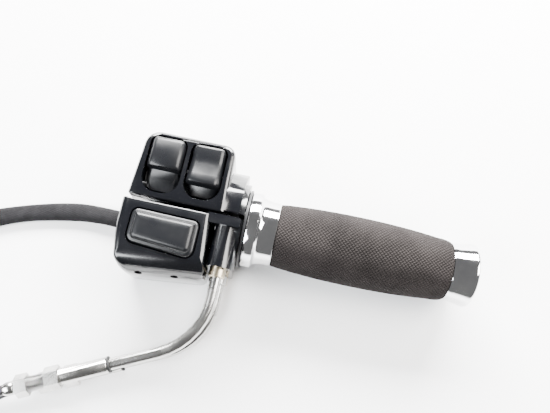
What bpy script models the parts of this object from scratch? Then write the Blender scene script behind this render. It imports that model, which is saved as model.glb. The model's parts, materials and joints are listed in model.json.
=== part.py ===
"""Right-hand motorcycle throttle grip: twist grip, switch housing, throttle cables and harness.

Sizes are in millimetres, measured from the handlebar's centre line: x runs outboard along the
bar with 0 at the grip's flange, y points up the bike and z points back to the rider.  Finished
meshes are turned into metres.  The control lies on the front of its housing.
"""
import math

import bmesh
import bpy
from mathutils import Matrix, Vector

MM = 0.001
MERGE = 0.002
GAP = 0.3
TABLE_GAP = 0.05
WIDE_STEPS = 30
NECK_STEPS = 32
HOLE_STEPS = 12
CABLE_STEPS = 16

# Handlebar, and how the whole control lies
BAR_DIAMETER = 25.4
BAR_CLEARANCE = 0.2
AXIS_HEIGHT = 22.0

# Switch housing, both halves
HOUSING_LEFT = -62.6
HOUSING_TOP = 37.3
HOUSING_BOTTOM = -40.0
REAR_FACE = 27.0
WALL = 2.5
ROOM_FRONT = -10.0
SPLIT_GAP = 2.4
MAIN_SPLIT = -0.4
NECK_SPLIT = 0.7
EDGE_ROUND = 2.8
SPLIT_ROUND = 0.5
FRONT_ROUND = 16.0
BOTTOM_ROUND = 12.0
SADDLE_WALL = 2.7
POCKET_FLOOR_WALL = 1.0

# Neck of the housing, around the cable drum
BOX_RIGHT = -11.4
MAIN_RIGHT = -15.6
NECK_END = -1.0
NECK_WALL = 2.6
NECK_RADIUS = 29.4
NECK_LIP_RADIUS = 24.5
BOSS_BOTTOM = -27.0
BOSS_WIDTH = 13.4

# Throttle sleeve, its cable drum and its flange
SLEEVE_WALL = 1.5
SLEEVE_CLEARANCE = 0.25
SLEEVE_INTO_CAP = 9.2
DRUM_HEIGHT = 3.95
DRUM_LENGTH = 9.0
DRUM_CLEARANCE = 0.8
GROOVE_HEIGHT = 0.55
GROOVE_WIDTH = 2.6
FLANGE_LEFT = -0.4
FLANGE_RADIUS = 21.7
FLANGE_THICKNESS = 1.2

# Grip, collar and cap on the sleeve
COLLAR_LENGTH = 16.3
COLLAR_RING_RADIUS = 20.9
COLLAR_RING_LENGTH = 5.6
GRIP_LENGTH = 96.8
GRIP_END_RADIUS = 17.5
GRIP_BELLY_RADIUS = 19.65
GRIP_SHOULDER = 8.0
GRIP_STEPS = 8
CAP_LENGTH = 13.8
CAP_NECK_RADIUS = 16.3
CAP_RIM_RADIUS = 17.9
CAP_DOME = 2.6

# Throttle and idle cables
WIRE_RADIUS = 0.75
BARREL_RADIUS = 1.9
BARREL_LENGTH = 6.0
ELBOW_RADIUS = 3.0
ELBOW_BORE = 1.6
ELBOW_DROP = 43.0
ELBOW_BEND = 35.0
ELBOW_TURN = math.radians(65.0)
ELBOW_RUN = 25.0
ELBOW_STEPS = 7
ELBOW_IN_ADJUSTER = 6.0
INSERT_RADIUS = 4.4
INSERT_LENGTH = 11.0
INSERT_SHOWS = 5.0
ADJUSTER_RADIUS = 4.0
ADJUSTER_LENGTH = 23.4
HEX_ACROSS = 10.4
HEX_LENGTH = 6.8
THREAD_RADIUS = 3.7
THREAD_SHOWS = 15.0
NUT_LENGTH = 5.7
FERRULE_RADIUS = 3.4
FERRULE_LENGTH = 5.2
CASING_DIAMETER = 5.0
CASING_STRAIGHT = 9.5

# Rocker switches and the turn-signal button
ROCKER_CLEARANCE = 0.8
START_WINDOW = (-57.6, -37.6, 3.6, 34.8)
STOP_WINDOW = (-35.6, -15.8, 4.4, 34.8)
WINDOW_ROUND = 4.5
WINDOW_LOW_ROUND = 8.5
BUTTON_WINDOW = (-57.8, -21.2, -27.6, -5.6)
BUTTON_TRAVEL = 2.0
PIN_RADIUS = 1.0
PIN_REACH = 0.6
SWITCH_FOOT = -3.0
TURN_SWITCH_FOOT = 2.0
PLATE_HOLE = 1.6

# Wiring harness
HARNESS_DIAMETER = 7.0
HARNESS_WIDTH = 10.4
HARNESS_THICKNESS = 5.2
HARNESS_Y = -7.4
HARNESS_Z = -17.3

# Fasteners, pivots and holes
CLAMP_SCREWS = (-46.0, -23.0)
CLAMP_Z = -16.8
CLAMP_HOLE = 2.4
CLAMP_HEAD = 3.5
CLAMP_SEAT = -20.0
CLAMP_DEPTH = 12.0
FRICTION_HOLE = 2.4
FRICTION_TRAVEL = 0.5
DRAIN_HOLES = ((-48.0, 16.5), (-29.5, 16.5))
DRAIN_TILT = math.radians(22.0)
DRAIN_RADIUS = 2.1
START_PIVOT_Y = 8.6
STOP_PIVOT_Y = 20.0
BUTTON_CENTRE = (-39.5, -20.6)

# Each cable: its side of the bar, and its barrel's angle from the top of the drum at rest
CABLES = {"throttle": (-1, math.radians(80.0)), "idle": (1, math.radians(10.0))}
TIP_RADIUS = 1.9
TIP_FERRULE_LENGTH = 27.0
TIP_STICKS_OUT = {"throttle": 27.0, "idle": 5.0}
TIP_TRAVEL_ROOM = 29.5
TIP_FOOT = (16.1, -19.2)
TIP_HEADING = math.radians(200.0)

# Coils of the stored lengths: middle (x, y) from the cord's start, inner and outer radius
CASING_COILS = {"throttle": (-62.5, 6.8), "idle": (-142.5, 6.8)}
CASING_COIL_RADII = (22.5, 37.5)
COIL_ENTRY = math.radians(-60.0)
HARNESS_COIL = (-156.5, 7.4)
HARNESS_COIL_RADII = (42.0, 62.0)

BORE_RADIUS = BAR_DIAMETER / 2 + BAR_CLEARANCE
SLEEVE_BORE = BAR_DIAMETER / 2 + SLEEVE_CLEARANCE
SLEEVE_RADIUS = SLEEVE_BORE + SLEEVE_WALL
OVER_SLEEVE = SLEEVE_RADIUS + GAP
DRUM_RADIUS = SLEEVE_RADIUS + DRUM_HEIGHT
GROOVE_RADIUS = SLEEVE_RADIUS + GROOVE_HEIGHT
SADDLE = BORE_RADIUS + SADDLE_WALL
POCKET_FLOOR = SADDLE + POCKET_FLOOR_WALL
START_PIVOT = (START_PIVOT_Y, POCKET_FLOOR + 4.0)
STOP_PIVOT = (STOP_PIVOT_Y, POCKET_FLOOR + 2.8)
FRONT_FACE = -AXIS_HEIGHT
DRUM_RIGHT = NECK_END - NECK_WALL - GAP
DRUM_LEFT = DRUM_RIGHT - DRUM_LENGTH
DRUM_MIDDLE = (DRUM_LEFT + DRUM_RIGHT) / 2
DRUM_ROOM = DRUM_RADIUS + DRUM_CLEARANCE
CABLE_OFFSET = GROOVE_RADIUS + WIRE_RADIUS + GAP
SWITCH_ROOM_RIGHT = DRUM_LEFT - GAP - WALL
COLLAR_START = FLANGE_LEFT + FLANGE_THICKNESS + GAP
GRIP_START = COLLAR_START + COLLAR_LENGTH + GAP
CAP_START = GRIP_START + GRIP_LENGTH + GAP
SLEEVE_END = CAP_START + SLEEVE_INTO_CAP
UPPER_EDGE = MAIN_SPLIT + SPLIT_GAP / 2
LOWER_EDGE = MAIN_SPLIT - SPLIT_GAP / 2
UPPER_NECK_EDGE = NECK_SPLIT + SPLIT_GAP / 2
LOWER_NECK_EDGE = NECK_SPLIT - SPLIT_GAP / 2
PORT_SEAT = BOSS_BOTTOM + INSERT_LENGTH - INSERT_SHOWS + GAP
ELBOW_HEADING = Vector((-math.sin(ELBOW_TURN), -math.cos(ELBOW_TURN), 0.0))

FINISHES = {
    "black_enamel": ((0.012, 0.012, 0.016), 0.18, 0.0),
    "switch_plastic": ((0.05, 0.053, 0.058), 0.4, 0.0),
    "chrome": ((0.82, 0.82, 0.84), 0.08, 1.0),
    "steel": ((0.55, 0.55, 0.57), 0.3, 1.0),
    "brass": ((0.62, 0.5, 0.3), 0.35, 1.0),
    "foam": ((0.075, 0.068, 0.066), 0.9, 0.0),
    "nylon": ((0.03, 0.03, 0.032), 0.5, 0.0),
    "rubber": ((0.02, 0.02, 0.02), 0.7, 0.0),
    "casing": ((0.025, 0.025, 0.027), 0.5, 0.0),
}


# ---------------------------------------------------------------- drawing tools

def finish(name):
    """Material of a named finish, made the first time that it is asked for."""
    if name in bpy.data.materials:
        return bpy.data.materials[name]
    colour, roughness, metallic = FINISHES[name]
    material = bpy.data.materials.new(name)
    material.use_nodes = True
    shader = material.node_tree.nodes["Principled BSDF"]
    shader.inputs["Base Color"].default_value = (*colour, 1.0)
    shader.inputs["Roughness"].default_value = roughness
    shader.inputs["Metallic"].default_value = metallic
    return material


def add_part(name, bm, look, origin=(0.0, 0.0, 0.0)):
    """Make an object of a mesh drawn in millimetres, with its origin where it turns or slides."""
    origin = Vector(origin)
    bmesh.ops.remove_doubles(bm, verts=bm.verts, dist=MERGE)
    bmesh.ops.recalc_face_normals(bm, faces=bm.faces)
    bmesh.ops.translate(bm, verts=bm.verts, vec=-origin)
    bmesh.ops.scale(bm, verts=bm.verts, vec=(MM, MM, MM))
    mesh = bpy.data.meshes.new(name)
    bm.to_mesh(mesh)
    bm.free()
    mesh.shade_smooth()
    mesh.set_sharp_from_angle(angle=math.radians(35))
    mesh.materials.append(finish(look))
    part = bpy.data.objects.new(name, mesh)
    bpy.context.collection.objects.link(part)
    part.location = origin * MM
    part.parent = bar_centre
    return part


def shape_with(part, bm, operation="DIFFERENCE"):
    """Cut a hidden tool out of a part, or join it on."""
    number = len(part.modifiers) + 1
    tool = add_part(f"{part.name}_tool_{number}", bm, "steel")
    tool.hide_render = True
    tool.display_type = "WIRE"
    boolean = part.modifiers.new(f"tool_{number}", "BOOLEAN")
    boolean.operation = operation
    boolean.solver = "EXACT"
    boolean.object = tool


def outline(corners, draw_in=0.0, steps=4):
    """Rounded closed outline through (x, y, radius) corners, anticlockwise.

    draw_in moves the edges inwards: one distance for all, or one for each corner's outgoing edge.
    """
    count = len(corners)
    shifts = draw_in if isinstance(draw_in, (list, tuple)) else [draw_in] * count
    places = [Vector(corner[:2]) for corner in corners]
    ways = [(places[(i + 1) % count] - places[i]).normalized() for i in range(count)]
    points = []
    for i in range(count):
        before, after = ways[i - 1], ways[i]
        start, end = shifts[i - 1], shifts[i]
        turn = before.x * after.y - before.y * after.x
        corner = places[i] + (after * start - before * end) / turn
        wanted = corners[i][2]
        radius = max(wanted - max(start, end), 0.25) if turn > 0 else wanted + max(start, end)
        angle = math.atan2(turn, before.dot(after))
        reach = radius * math.tan(abs(angle) / 2)
        inward = Vector((-before.y, before.x)) * math.copysign(1, turn)
        middle = corner - before * reach + inward * radius
        for k in range(steps + 1):
            swing = Matrix.Rotation(angle * k / steps, 2)
            points.append(middle + swing @ (-inward * radius))
    return [(point.x, point.y) for point in points]


def box_corners(left, right, low, high, radius, low_radius=None):
    """Corners of an upright rectangle, for outline()."""
    low_radius = radius if low_radius is None else low_radius
    return [(left, low, low_radius), (right, low, low_radius), (right, high, radius), (left, high, radius)]


def level(points, height):
    """Outline points at one height."""
    return [(x, y, height) for x, y in points]


def skin(rings):
    """Solid whose surface runs through rings of equally many points, closed at both ends."""
    bm = bmesh.new()
    loops = [[bm.verts.new(point) for point in ring] for ring in rings]
    for lower, upper in zip(loops, loops[1:]):
        for i in range(len(lower)):
            j = (i + 1) % len(lower)
            bm.faces.new((lower[i], lower[j], upper[j], upper[i]))
    bm.faces.new(loops[0][::-1])
    bm.faces.new(loops[-1])
    return bm


def prism(points, start, end, axis="Z"):
    """Straight solid of an outline: (x, y) along Z, (y, z) along X, or (x, z) along Y."""
    place = {
        "X": lambda u, v, w: (w, u, v),
        "Y": lambda u, v, w: (u, w, v),
        "Z": lambda u, v, w: (u, v, w),
    }[axis]
    return skin([[place(u, v, w) for u, v in points] for w in (start, end)])


def block(left, right, low, high, front, rear):
    """Plain box."""
    return prism([(left, low), (right, low), (right, high), (left, high)], front, rear)


def turned(profile, steps=WIDE_STEPS, foot=(0.0, 0.0, 0.0), way=(1.0, 0.0, 0.0)):
    """Solid turned about a line from foot along way; profile is a closed run of (along, radius)."""
    bm = bmesh.new()
    verts = [bm.verts.new((along, radius, 0.0)) for along, radius in profile]
    edges = [bm.edges.new(pair) for pair in zip(verts, verts[1:])]
    if profile[0][1] > 0 or profile[-1][1] > 0:
        edges.append(bm.edges.new((verts[-1], verts[0])))
    bmesh.ops.spin(
        bm, geom=verts + edges, axis=(1, 0, 0), cent=(0, 0, 0), angle=math.tau, steps=steps, use_merge=True
    )
    bmesh.ops.remove_doubles(bm, verts=bm.verts, dist=MERGE)
    turn = Vector((1, 0, 0)).rotation_difference(Vector(way)).to_matrix().to_4x4()
    bm.transform(Matrix.Translation(foot) @ turn)
    return bm


def rod(radius, start, end, steps=HOLE_STEPS, foot=(0.0, 0.0, 0.0), way=(1.0, 0.0, 0.0)):
    """Plain round rod along a line."""
    return turned([(start, 0.0), (start, radius), (end, radius), (end, 0.0)], steps, foot, way)


def bush(bore, radius, start, end, steps=HOLE_STEPS, foot=(0.0, 0.0, 0.0), way=(1.0, 0.0, 0.0)):
    """Round tube along a line."""
    return turned([(start, bore), (start, radius), (end, radius), (end, bore)], steps, foot, way)


def hexagon(across):
    """Corners of a hexagon of a given size across its flats."""
    radius = across / math.sqrt(3)
    return [(radius * math.cos(k * math.pi / 3), radius * math.sin(k * math.pi / 3)) for k in range(6)]


def swept(path, radius, sides, up=(0.0, 0.0, 1.0), bore=0.0):
    """Round bar, or a tube with a bore, along a path."""
    path = [Vector(point) for point in path]
    up = Vector(up)

    def ring(i, size):
        ahead = (path[min(i + 1, len(path) - 1)] - path[max(i - 1, 0)]).normalized()
        side = ahead.cross(up).normalized()
        top = side.cross(ahead)
        angles = [math.tau * k / sides for k in range(sides)]
        return [path[i] + size * (math.cos(a) * side + math.sin(a) * top) for a in angles]

    outside = [ring(i, radius) for i in range(len(path))]
    if bore == 0.0:
        return skin(outside)
    rings = outside + [ring(i, bore) for i in reversed(range(len(path)))]
    bm = bmesh.new()
    loops = [[bm.verts.new(point) for point in points] for points in rings]
    for first, second in zip(loops, loops[1:] + loops[:1]):
        for k in range(sides):
            j = (k + 1) % sides
            bm.faces.new((first[k], first[j], second[j], second[k]))
    return bm


def coil_spring(radius, wire, turns, foot, height, steps=8):
    """Compression spring standing along Z."""
    rise = (height - 2 * wire) / (turns * steps)
    path = []
    for k in range(turns * steps + 1):
        angle = math.tau * k / steps
        path.append((
            foot[0] + radius * math.cos(angle),
            foot[1] + radius * math.sin(angle),
            foot[2] + wire + rise * k,
        ))
    return swept(path, wire, 5)


def arc_levels(radius, start, sign, angles):
    """Heights at which a rounded edge is drawn, counted from a flat face."""
    return [start + sign * radius * (1 - math.cos(math.radians(angle))) for angle in angles]


def drawn_in(radius, depth):
    """How far an edge of this round has drawn in at a depth below the face."""
    reach = radius - depth
    return radius - math.sqrt(radius ** 2 - reach ** 2) if reach > 0 else 0.0


# ---------------------------------------------------------------- switch housing

def housing_levels(rear_round):
    """Heights of the housing's rings, from the front face to the rear face."""
    front = arc_levels(EDGE_ROUND, FRONT_FACE, 1, (0, 30, 60, 90))
    front += arc_levels(FRONT_ROUND, FRONT_FACE, 1, (50, 70, 90))
    rear = arc_levels(rear_round, REAR_FACE, -1, (90, 65, 45))
    rear += arc_levels(EDGE_ROUND, REAR_FACE, -1, (90, 60, 30, 0))
    return sorted(set(round(height, 4) for height in front + rear))


def upper_corners():
    """Outline of the upper half's switch box."""
    return [
        (HOUSING_LEFT, UPPER_EDGE, 1.0),
        (BOX_RIGHT + 0.6, UPPER_EDGE, 1.0),
        (BOX_RIGHT - 0.8, HOUSING_TOP, 6.0),
        (HOUSING_LEFT + 2.2, HOUSING_TOP, 8.0),
    ]


def lower_corners():
    """Outline of the lower half's main body."""
    return [
        (HOUSING_LEFT - 1.6, LOWER_EDGE, 1.0),
        (HOUSING_LEFT - 1.4, LOWER_EDGE - 15.4, 30.0),
        (HOUSING_LEFT + 2.6, HOUSING_BOTTOM, 9.0),
        (MAIN_RIGHT + 0.6, HOUSING_BOTTOM + 4.8, 3.0),
        (MAIN_RIGHT - 2.0, LOWER_EDGE, 1.0),
    ]


def shell_body(corners, rear_round, split_edge, far_edge):
    """Solid body of one half, sharp at its split edge and widely rounded at its far edge."""
    rings = []
    for height in housing_levels(rear_round):
        front, rear = height - FRONT_FACE, REAR_FACE - height
        shifts = []
        for edge in range(len(corners)):
            small = SPLIT_ROUND if edge == split_edge else EDGE_ROUND
            shift = max(drawn_in(small, front), drawn_in(small, rear))
            if edge == far_edge:
                shift = max(drawn_in(FRONT_ROUND, front), drawn_in(rear_round, rear))
            shifts.append(shift)
        rings.append(level(outline(corners, shifts), height))
    return skin(rings)


def neck(radius, edge, upper):
    """(y, z) outline of a round neck, flat at the front, at the rear and at the split."""
    start = math.asin(edge / radius)
    sweep = math.pi - 2 * start if upper else -math.pi - 2 * start
    points = []
    for k in range(NECK_STEPS + 1):
        angle = start + sweep * k / NECK_STEPS
        y, z = radius * math.sin(angle), radius * math.cos(angle)
        z = min(max(z, FRONT_FACE + 0.3), REAR_FACE - 0.4)
        flat = len(points) > 1 and z == points[-1][1] == points[-2][1]
        if flat:
            points.pop()
        points.append((y, z))
    return points


def inside_of_halves():
    """Room that both halves leave for the handlebar, the cable drum and the sleeve."""
    drum_left, drum_right = DRUM_LEFT - GAP, NECK_END - NECK_WALL
    return turned([
        (HOUSING_LEFT - 20, 0), (HOUSING_LEFT - 20, BORE_RADIUS), (drum_left, BORE_RADIUS),
        (drum_left, DRUM_ROOM), (drum_right, DRUM_ROOM), (drum_right, SLEEVE_RADIUS + 0.6),
        (NECK_END + 10, SLEEVE_RADIUS + 0.6), (NECK_END + 10, 0),
    ])


def make_upper_housing():
    """Upper half: switch box, drum neck, two switch windows."""
    housing = add_part("upper_housing", shell_body(upper_corners(), EDGE_ROUND, 0, 2), "black_enamel")
    drum_left = DRUM_LEFT - GAP
    neck_points = neck(NECK_RADIUS, UPPER_NECK_EDGE, True)
    shape_with(housing, prism(neck_points, drum_left - 1.2, NECK_END - NECK_WALL + 0.2, "X"), "UNION")
    lip_points = neck(NECK_LIP_RADIUS, UPPER_NECK_EDGE + 0.2, True)
    shape_with(housing, prism(lip_points, NECK_END - NECK_WALL - 0.5, NECK_END, "X"), "UNION")
    room = outline([
        (HOUSING_LEFT + WALL, SADDLE, 0.5),
        (SWITCH_ROOM_RIGHT, SADDLE, 0.5),
        (SWITCH_ROOM_RIGHT, HOUSING_TOP - WALL, 1.5),
        (HOUSING_LEFT + WALL + 2.2, HOUSING_TOP - WALL, 5.5),
    ], 0.0, 3)
    shape_with(housing, prism(room, ROOM_FRONT, REAR_FACE - WALL))
    for left, right, low, high in (START_WINDOW, STOP_WINDOW):
        window = outline(box_corners(left, right, low, high, WINDOW_ROUND, WINDOW_LOW_ROUND), 0.0, 6)
        shape_with(housing, prism(window, POCKET_FLOOR, REAR_FACE + 5))
    for window, pivot in ((START_WINDOW, START_PIVOT), (STOP_WINDOW, STOP_PIVOT)):
        reach = PIN_REACH + GAP
        shape_with(housing, rod(PIN_RADIUS + GAP, window[0] - reach, window[1] + reach, 12, (0, *pivot)))
    shape_with(housing, inside_of_halves())
    for x in CLAMP_SCREWS:
        shape_with(housing, rod(CLAMP_HOLE, -5, CLAMP_DEPTH + 1.5, foot=(x, 0, CLAMP_Z), way=(0, 1, 0)))
    return housing


def make_lower_housing():
    """Lower half: turn-signal box, cable bosses, drain holes, harness slot."""
    housing = add_part("lower_housing", shell_body(lower_corners(), BOTTOM_ROUND, 4, 2), "black_enamel")
    drum_left = DRUM_LEFT - GAP
    boss_rear = CABLE_OFFSET + BOSS_WIDTH / 2 + 1.2
    boss = outline(box_corners(
        DRUM_MIDDLE - BOSS_WIDTH / 2, DRUM_MIDDLE + BOSS_WIDTH / 2, FRONT_FACE + 0.6, boss_rear, BOSS_WIDTH / 2 - 0.3,
    ), 0.0, 5)
    shape_with(housing, prism(boss, BOSS_BOTTOM, LOWER_NECK_EDGE - 1.0, "Y"), "UNION")
    ledge = outline(box_corners(
        MAIN_RIGHT - 4.0, NECK_END - 0.9, LOWER_NECK_EDGE - 5.2, LOWER_NECK_EDGE - 0.01, 0.8,
    ), 0.0, 2)
    shape_with(housing, prism(ledge, FRONT_FACE + 1.0, REAR_FACE - 0.6), "UNION")
    body_points = neck(DRUM_ROOM + WALL, LOWER_NECK_EDGE - 0.3, False)
    shape_with(housing, prism(body_points, drum_left - 1.4, NECK_END - NECK_WALL + 0.2, "X"), "UNION")
    lip_points = neck(NECK_LIP_RADIUS - 0.6, LOWER_NECK_EDGE - 0.2, False)
    shape_with(housing, prism(lip_points, NECK_END - NECK_WALL - 0.5, NECK_END, "X"), "UNION")
    left, right = HOUSING_LEFT + 2.2, SWITCH_ROOM_RIGHT
    room = outline([
        (left, -SADDLE, 2.0),
        (left + 1.8, HOUSING_BOTTOM + WALL + 0.4, 7.0),
        (right, HOUSING_BOTTOM + WALL + 4.6, 3.0),
        (right, -SADDLE, 2.0),
    ], 0.0, 3)
    room_rings = [level(room, ROOM_FRONT), level(room, REAR_FACE - BOTTOM_ROUND)]
    for depth in (4.0, WALL):
        shift = drawn_in(BOTTOM_ROUND - WALL, depth - WALL)
        drawn = [(x, y + shift * (y < -SADDLE - 6)) for x, y in room]
        room_rings.append(level(drawn, REAR_FACE - depth))
    shape_with(housing, skin(room_rings))
    left, right, low, high = BUTTON_WINDOW
    window = outline([(left, low + 2.8, 5.0), (right, low, 5.0), (right, high - 0.6, 4.0), (left, high, 4.0)])
    shape_with(housing, prism(window, POCKET_FLOOR, REAR_FACE + 5))
    shape_with(housing, inside_of_halves())
    for side in (-1, 1):
        foot = (DRUM_MIDDLE, 0, side * CABLE_OFFSET)
        shape_with(housing, turned([
            (BOSS_BOTTOM - 5, 0), (BOSS_BOTTOM - 5, INSERT_RADIUS + GAP),
            (PORT_SEAT, INSERT_RADIUS + GAP), (PORT_SEAT, 2.0), (-1.0, 2.0), (-1.0, 0),
        ], CABLE_STEPS, foot, (0, 1, 0)))
    foot = (DRUM_MIDDLE, 0, 0)
    shape_with(housing, rod(FRICTION_HOLE, BOSS_BOTTOM - 5, -DRUM_ROOM + 1, foot=foot, way=(0, 1, 0)))
    for x in CLAMP_SCREWS:
        foot = (x, 0, CLAMP_Z)
        shape_with(housing, turned([
            (-60, 0), (-60, CLAMP_HEAD + 0.5), (CLAMP_SEAT, CLAMP_HEAD + 0.5),
            (CLAMP_SEAT, CLAMP_HOLE), (5, CLAMP_HOLE), (5, 0),
        ], HOLE_STEPS, foot, (0, 1, 0)))
    for x, z in DRAIN_HOLES:
        way = (0.0, -math.cos(DRAIN_TILT), math.sin(DRAIN_TILT))
        shape_with(housing, rod(DRAIN_RADIUS, 0, 12, foot=(x, HOUSING_BOTTOM + 7, z), way=way))
    half_w, half_t = HARNESS_WIDTH / 2 + 1.6, HARNESS_THICKNESS / 2 + 0.9
    slot_low, slot_high = HARNESS_Z - half_t, HARNESS_Z + half_t
    shape_with(housing, block(-80, HOUSING_LEFT + 8, HARNESS_Y - half_w, 5, slot_low, slot_high))
    channel = block(
        HOUSING_LEFT + 3, HOUSING_LEFT + 8, -SADDLE - 4, -BORE_RADIUS - 0.5, slot_low, ROOM_FRONT + 2.0,
    )
    shape_with(housing, channel)
    return housing


# ---------------------------------------------------------------- fasteners and switches

def socket_screw(name, foot, way, head_radius, head_height, radius, length, socket):
    """Cap screw with a hexagon socket: foot is under the head, way runs down the thread."""
    screw = add_part(name, turned([
        (-head_height, 0), (-head_height, head_radius - 0.4), (-head_height + 0.4, head_radius),
        (0, head_radius), (0, radius), (length - 0.6, radius), (length, radius - 0.6), (length, 0),
    ], HOLE_STEPS, foot, way), "steel", foot)
    tool = prism(hexagon(socket), -head_height - 1, -head_height + head_height * 0.55, "X")
    turn = Vector((1, 0, 0)).rotation_difference(Vector(way)).to_matrix().to_4x4()
    tool.transform(Matrix.Translation(foot) @ turn)
    shape_with(screw, tool)
    return screw


def rocker(name, window, pivot, side_view):
    """Rocker cap: side_view is its (y, z) outline, drawn in and rounded towards its two ends."""
    left, right = window[0] + ROCKER_CLEARANCE, window[1] - ROCKER_CLEARANCE
    edge = max(z for y, z in side_view[:2]) + 1.4
    low, high = min(y for y, z in side_view), max(y for y, z in side_view)
    stations = []
    for along, drop in ((0, 4.4), (0.25, 3.0), (0.9, 1.6), (1.9, 0.5), (3.2, 0.0), (5.0, 0.0), (7.0, 0.0)):
        bottom = low + drawn_in(WINDOW_LOW_ROUND - ROCKER_CLEARANCE, along)
        top = high - drawn_in(WINDOW_ROUND - ROCKER_CLEARANCE, along)
        view = [(min(max(y, bottom), top), z if z < edge else max(z - drop, edge)) for y, z in side_view]
        stations += [(left + along, view), (right - along, view)]
    rings = [[(x, y, z) for y, z in view] for x, view in sorted(stations, key=lambda station: station[0])]
    cap = add_part(name, skin(rings), "switch_plastic", ((left + right) / 2, *pivot))
    shape_with(cap, rod(PIN_RADIUS + GAP, left - 5, right + 5, 12, (0, *pivot)))
    return cap


def make_switches():
    """Rockers with their pins, bodies and bracket, and the turn-signal button with its own."""
    floor, face = POCKET_FLOOR, REAR_FACE
    start_view = [
        (5.0, floor + 2.0), (33.6, floor + 3.2), (34.0, face - 2.0), (33.4, face + 1.3), (31.5, face + 2.2),
        (25.0, face + 2.1), (19.0, face + 2.0), (17.4, face + 1.4), (16.9, face + 0.2), (16.4, face - 2.8),
        (12.0, face - 4.0), (5.6, face - 4.6),
    ]
    stop_view = [
        (6.4, floor + 3.2), (20.0, floor + 0.6), (33.6, floor + 1.6), (34.0, face - 1.4), (33.4, face + 1.2),
        (32.0, face + 1.7), (27.5, face + 0.3), (24.0, face + 0.5), (18.0, face + 1.8), (15.0, face + 2.6),
        (13.2, face + 2.4), (12.4, face + 1.2), (12.0, face - 2.8), (6.8, face - 4.6),
    ]
    rocker("start_rocker", START_WINDOW, START_PIVOT, start_view)
    rocker("stop_rocker", STOP_WINDOW, STOP_PIVOT, stop_view)
    for name, window, pivot in (("start", START_WINDOW, START_PIVOT), ("stop", STOP_WINDOW, STOP_PIVOT)):
        foot = (0, *pivot)
        pin = rod(PIN_RADIUS, window[0] - PIN_REACH, window[1] + PIN_REACH, 12, foot)
        add_part(f"{name}_pivot_pin", pin, "steel", ((window[0] + window[1]) / 2, *pivot))
    start_top, stop_top, high = floor - 4.0, floor - 2.6, HOUSING_TOP - WALL - 2.3
    for name, window, top in (("start", START_WINDOW, start_top), ("stop", STOP_WINDOW, stop_top)):
        left, right = window[0] + 1.6, min(window[1] - 1.2, SWITCH_ROOM_RIGHT - 1.3)
        add_part(f"{name}_switch_body", block(left, right, SADDLE + 1.0, high, SWITCH_FOOT, top), "nylon")
    left, right = START_WINDOW[0] + 1.4, min(STOP_WINDOW[1] - 0.6, SWITCH_ROOM_RIGHT - 0.7)
    sheet = block(left, right, SADDLE + 0.6, high, SWITCH_FOOT - 2.0, SWITCH_FOOT - GAP)
    plate = add_part("upper_switch_plate", sheet, "steel")
    x = (START_WINDOW[1] + STOP_WINDOW[0]) / 2
    hole = (x, 24.0, SWITCH_FOOT)
    shape_with(plate, rod(PLATE_HOLE, -5, 8, foot=hole, way=(0, 0, -1)))
    socket_screw("upper_plate_screw", hole, (0, 0, -1), 1.9, 1.9, PLATE_HOLE - 0.4, 6.0, 1.4)
    spring_foot = ((START_WINDOW[0] + START_WINDOW[1]) / 2, 26.0, start_top + GAP)
    spring = coil_spring(2.6, 0.4, 4, spring_foot, floor + 2.3 - spring_foot[2])
    add_part("start_return_spring", spring, "steel", spring_foot)


def make_turn_button():
    """Turn-signal push button, its spring, switch body, plate and screw."""
    left, right, low, high = BUTTON_WINDOW
    clear = ROCKER_CLEARANCE - 0.1
    corners = [
        (left + clear, low + clear + 2.8, 4.4), (right - clear, low + clear, 4.4),
        (right - clear, high - clear - 0.6, 3.4), (left + clear, high - clear, 3.4),
    ]
    floor = POCKET_FLOOR + BUTTON_TRAVEL + 1.4
    steps = (
        (floor, 0.0), (REAR_FACE - 0.4, 0.0), (REAR_FACE + 0.7, 0.5), (REAR_FACE + 1.0, 1.2),
        (REAR_FACE + 1.1, 1.9), (REAR_FACE + 2.0, 2.3), (REAR_FACE + 2.8, 3.0), (REAR_FACE + 3.2, 4.2),
        (REAR_FACE + 3.4, 6.0),
    )
    rings = [level(outline(corners, inset), height) for height, inset in steps]
    x, y = BUTTON_CENTRE
    button = add_part("turn_button", skin(rings), "switch_plastic", (x, y, floor))
    shape_with(button, rod(1.6, -9.0, 1.0, 12, (x, y, floor), (0, 0, 1)), "UNION")
    body_top = POCKET_FLOOR - 2.0
    shell = block(-54.0, -24.0, -31.0, -SADDLE - 1.0, TURN_SWITCH_FOOT, body_top)
    body = add_part("turn_switch_body", shell, "nylon")
    shape_with(body, rod(2.2, body_top - 9, body_top + 3, 12, (x, y, 0), (0, 0, 1)))
    spring_foot = (x, y, body_top + GAP)
    height = floor - GAP - spring_foot[2]
    add_part("turn_return_spring", coil_spring(3.0, 0.4, 3, spring_foot, height), "steel", spring_foot)
    sheet = block(-55.0, -20.0, -33.0, -SADDLE - 0.6, TURN_SWITCH_FOOT - 2.0, TURN_SWITCH_FOOT - GAP)
    plate = add_part("turn_switch_plate", sheet, "steel")
    hole = (-21.9, -24.0, TURN_SWITCH_FOOT)
    shape_with(plate, rod(PLATE_HOLE, -5, 8, foot=hole, way=(0, 0, -1)))
    socket_screw("turn_plate_screw", hole, (0, 0, -1), 2.0, 1.7, PLATE_HOLE - 0.4, 5.0, 1.4)
    lamp_foot = (-40.0, -26.0, -4.0)
    lamp = add_part("brake_lamp_switch_body", block(-50.0, -30.0, -32.0, -20.0, -7.6, -0.9), "nylon")
    shape_with(lamp, rod(1.5, -3, 30, 12, lamp_foot, (1, 0, 0)))
    plunger = rod(1.1, 2.0, 12.4, 12, lamp_foot)
    add_part("brake_lamp_plunger", plunger, "brass", (lamp_foot[0] + 2.0, *lamp_foot[1:]))


# ---------------------------------------------------------------- twist grip

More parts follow.
